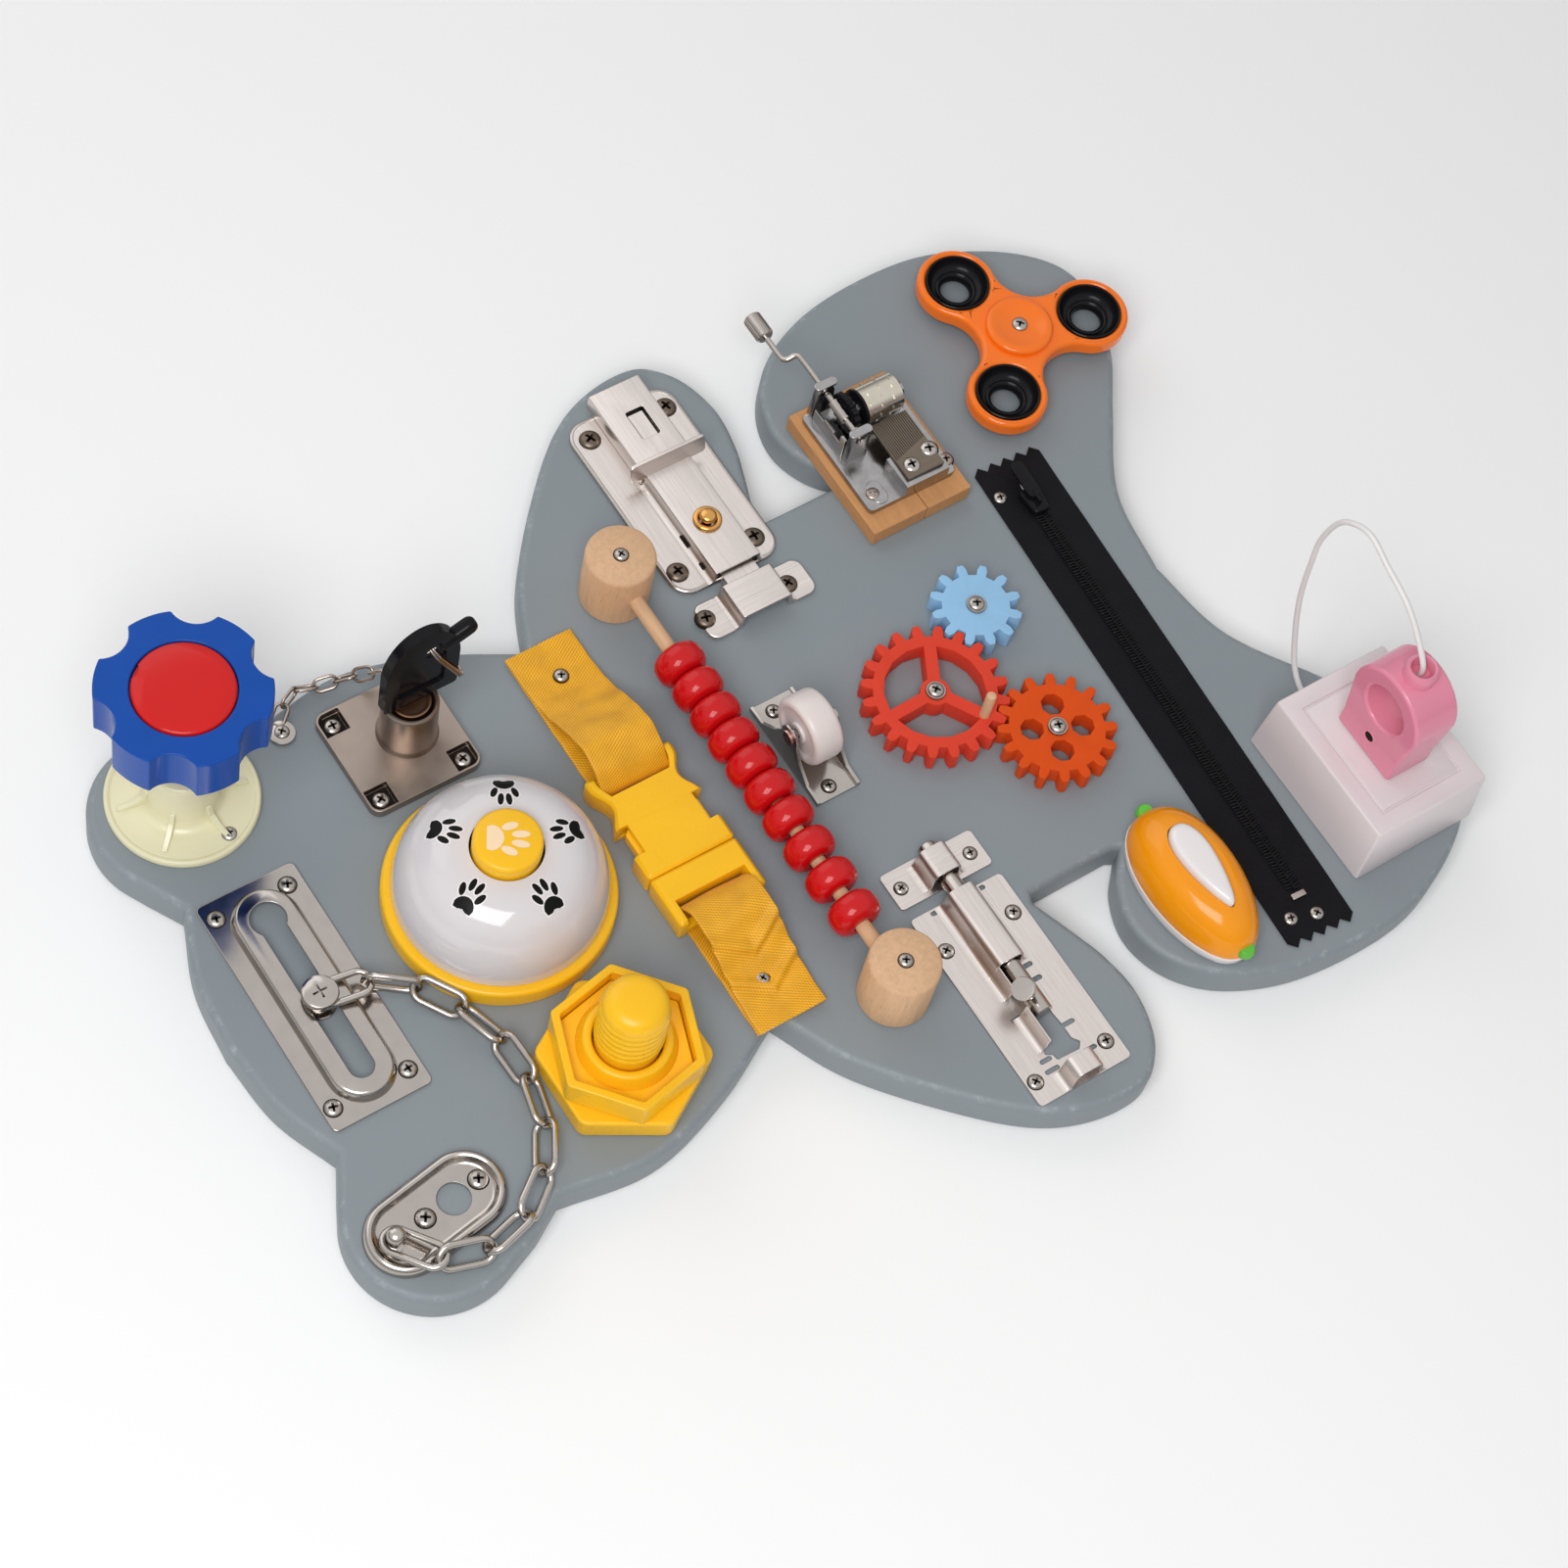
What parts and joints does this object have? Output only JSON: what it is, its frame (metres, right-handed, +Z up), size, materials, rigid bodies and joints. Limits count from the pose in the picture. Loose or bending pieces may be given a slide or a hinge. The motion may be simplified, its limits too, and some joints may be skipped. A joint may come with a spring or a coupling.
{
  "type": "busy board",
  "caption": "Bear-shaped busy board of painted wood with a tap, lock and key, door chain, bell, nut, buckle, beads, latches, gears, music box, spinner, zip, switch and plug.",
  "frame": {"origin": "centre line of the board on its flat back face, midway between the feet and the head", "axes": "+Y toward the head, +X to the right seen from above with the head up, +Z up out of the board's face"},
  "size_m": [0.3104, 0.4148, 0.1152],
  "materials": {
    "grey_paint": "satin paint on board",
    "cream_plastic": "satin",
    "blue_plastic": "gloss",
    "red_plastic": "gloss",
    "red_gloss": "gloss paint",
    "yellow_plastic": "gloss",
    "white_plastic": "gloss",
    "black_plastic": "satin",
    "light_blue_plastic": "satin",
    "orange_plastic": "gloss",
    "pink_plastic": "gloss",
    "salmon_plastic": "satin",
    "white_nylon": "translucent satin",
    "bright_steel": "bright plated",
    "plain_steel": "satin",
    "brass": "polished",
    "wood": "bare",
    "webbing": "woven",
    "black_tape": "woven",
    "white_cord": "satin"
  },
  "bodies": {
    "base": {"board": "grey_paint", "valve_flange": "cream_plastic", "lock_body": "bright_steel", "key_chain": "bright_steel", "chain_track": "bright_steel", "chain_anchor": "bright_steel", "door_chain": "bright_steel", "bell_base": "yellow_plastic", "bell_dome": "white_plastic", "toy_bolt": "yellow_plastic", "strap_upper": "webbing", "strap_lower": "webbing", "buckle_socket": "yellow_plastic", "post_left": "wood", "post_right": "wood", "bead_rod": "wood", "caster_bracket": "bright_steel", "latch_plate": "bright_steel", "latch_keeper": "bright_steel", "bolt_plate": "bright_steel", "bolt_keeper": "bright_steel", "music_base": "wood", "music_frame": "plain_steel", "music_comb": "plain_steel", "spinner_hub": "orange_plastic", "zip_tape": "black_tape", "switch_body": "yellow_plastic", "socket_box": "white_plastic", "plug_cord": "white_cord"},
    "tap_wheel": {"valve_handwheel": "blue_plastic", "valve_cap": "red_plastic"},
    "lock_cylinder": {"lock_core": "bright_steel"},
    "key": {"key": "black_plastic"},
    "chain_slide": {"chain_slider": "bright_steel"},
    "bell_push": {"bell_button": "yellow_plastic"},
    "nut": {"toy_nut": "yellow_plastic"},
    "clip": {"buckle_clip": "yellow_plastic"},
    "caster_roller": {"caster_wheel": "white_nylon"},
    "latch": {"latch_bolt": "bright_steel"},
    "latch_push": {"latch_button": "brass"},
    "bolt": {"bolt_rod": "bright_steel"},
    "red_gear": {"gear_red": "red_plastic"},
    "blue_gear": {"gear_blue": "light_blue_plastic"},
    "orange_gear": {"gear_orange": "salmon_plastic"},
    "drum": {"music_drum": "brass"},
    "crank": {"music_crank": "bright_steel"},
    "spinner": {"spinner_body": "orange_plastic"},
    "zip_pull": {"zip_slider": "black_plastic"},
    "switch_push": {"switch_button": "white_plastic"},
    "plug": {"plug": "pink_plastic"},
    "bead_1": {"bead_1": "red_gloss"},
    "bead_2": {"bead_2": "red_gloss"},
    "bead_3": {"bead_3": "red_gloss"},
    "bead_4": {"bead_4": "red_gloss"},
    "bead_5": {"bead_5": "red_gloss"},
    "bead_6": {"bead_6": "red_gloss"},
    "bead_7": {"bead_7": "red_gloss"},
    "bead_8": {"bead_8": "red_gloss"},
    "bead_9": {"bead_9": "red_gloss"},
    "bead_10": {"bead_10": "red_gloss"}
  },
  "joints": [
    {"name": "tap_turn", "type": "hinge", "parent": "base", "child": "tap_wheel", "pos_m": [0.0821, 0.17441, 0.015], "axis": [0, 0, 1], "continuous": true},
    {"name": "lock_turn", "type": "hinge", "parent": "base", "child": "lock_cylinder", "pos_m": [0.06721, 0.1003, 0.015], "axis": [0, 0, 1], "range_deg": [0, 90], "deforming": ["key_chain"]},
    {"name": "key_lift", "type": "slide", "parent": "lock_cylinder", "child": "key", "axis": [0, 0, 1], "range_m": [0, 0.02]},
    {"name": "chain_slider_slide", "type": "slide", "parent": "base", "child": "chain_slide", "axis": [1, 0, 0], "range_m": [-0.026, 0.0318], "deforming": ["door_chain"]},
    {"name": "bell_press", "type": "slide", "parent": "base", "child": "bell_push", "axis": [0, 0, 1], "range_m": [-0.004, 0], "stiffness_N_per_m": 200, "springref_m": 0.001},
    {"name": "nut_turn", "type": "hinge", "parent": "base", "child": "nut", "pos_m": [-0.06599, 0.10099, 0.015], "axis": [0, 0, 1], "continuous": true},
    {"name": "clip_slide", "type": "slide", "parent": "base", "child": "clip", "axis": [-1, 0, 0], "range_m": [0, 0.023], "deforming": ["strap_lower"]},
    {"name": "bead_1_slide", "type": "slide", "parent": "base", "child": "bead_1", "axis": [1, 0, 0], "range_m": [-0.00026, 0.02179]},
    {"name": "bead_2_slide", "type": "slide", "parent": "base", "child": "bead_2", "axis": [1, 0, 0], "range_m": [-0.000264, 0.000264]},
    {"name": "bead_3_slide", "type": "slide", "parent": "base", "child": "bead_3", "axis": [1, 0, 0], "range_m": [-0.000264, 0.000264]},
    {"name": "bead_4_slide", "type": "slide", "parent": "base", "child": "bead_4", "axis": [1, 0, 0], "range_m": [-0.000264, 0.000264]},
    {"name": "bead_5_slide", "type": "slide", "parent": "base", "child": "bead_5", "axis": [1, 0, 0], "range_m": [-0.000264, 0.000264]},
    {"name": "bead_6_slide", "type": "slide", "parent": "base", "child": "bead_6", "axis": [1, 0, 0], "range_m": [-0.000678, 0.000264]},
    {"name": "bead_7_slide", "type": "slide", "parent": "base", "child": "bead_7", "axis": [1, 0, 0], "range_m": [-0.00192, 0.00068]},
    {"name": "bead_8_slide", "type": "slide", "parent": "base", "child": "bead_8", "axis": [1, 0, 0], "range_m": [-0.00233, 0.00192]},
    {"name": "bead_9_slide", "type": "slide", "parent": "base", "child": "bead_9", "axis": [1, 0, 0], "range_m": [-0.00275, 0.00233]},
    {"name": "bead_10_slide", "type": "slide", "parent": "base", "child": "bead_10", "axis": [1, 0, 0], "range_m": [-0.00896, 0.00275]},
    {"name": "caster_spin", "type": "hinge", "parent": "base", "child": "caster_roller", "pos_m": [0.0003, -0.0122, 0.03], "axis": [0, 1, 0], "continuous": true},
    {"name": "latch_slide", "type": "slide", "parent": "base", "child": "latch", "axis": [1, 0, 0], "range_m": [0, 0.014]},
    {"name": "latch_press", "type": "slide", "parent": "base", "child": "latch_push", "axis": [0, 0, 1], "range_m": [-0.001, 0], "stiffness_N_per_m": 200, "springref_m": 0.0005},
    {"name": "bolt_slide", "type": "slide", "parent": "base", "child": "bolt", "axis": [1, 0, 0], "range_m": [-0.016, 0]},
    {"name": "red_gear_turn", "type": "hinge", "parent": "base", "child": "red_gear", "pos_m": [-0.0062, -0.05951, 0.015], "axis": [0, 0, 1], "continuous": true},
    {"name": "blue_gear_turn", "type": "hinge", "parent": "base", "child": "blue_gear", "pos_m": [0.01482, -0.09068, 0.015], "axis": [0, 0, 1], "continuous": true},
    {"name": "orange_gear_turn", "type": "hinge", "parent": "base", "child": "orange_gear", "pos_m": [-0.03734, -0.08814, 0.015], "axis": [0, 0, 1], "continuous": true},
    {"name": "crank_turn", "type": "hinge", "parent": "base", "child": "crank", "pos_m": [0.0817, -0.0856, 0.037], "axis": [1, 0, 0], "continuous": true},
    {"name": "drum_turn", "type": "hinge", "parent": "base", "child": "drum", "pos_m": [0.095, -0.0962, 0.0335], "axis": [0, 1, 0], "continuous": true},
    {"name": "spinner_spin", "type": "hinge", "parent": "base", "child": "spinner", "pos_m": [0.1, -0.16749, 0.015], "axis": [0, 0, 1], "continuous": true},
    {"name": "zip_slide", "type": "slide", "parent": "base", "child": "zip_pull", "axis": [0.9985, -0.0541, 0], "range_m": [-0.15, 0]},
    {"name": "switch_press", "type": "slide", "parent": "base", "child": "switch_push", "axis": [0, 0, 1], "range_m": [-0.002, 0], "stiffness_N_per_m": 200, "springref_m": 0.0008},
    {"name": "plug_pull", "type": "slide", "parent": "base", "child": "plug", "axis": [0, 0, 1], "range_m": [0, 0.022], "deforming": ["plug_cord"]}
  ],
  "couplings": [
    {"joint": "blue_gear_turn", "follows": "red_gear_turn", "ratio": -1.6667},
    {"joint": "orange_gear_turn", "follows": "red_gear_turn", "ratio": -1.25},
    {"joint": "drum_turn", "follows": "crank_turn", "ratio": 0.0625}
  ]
}
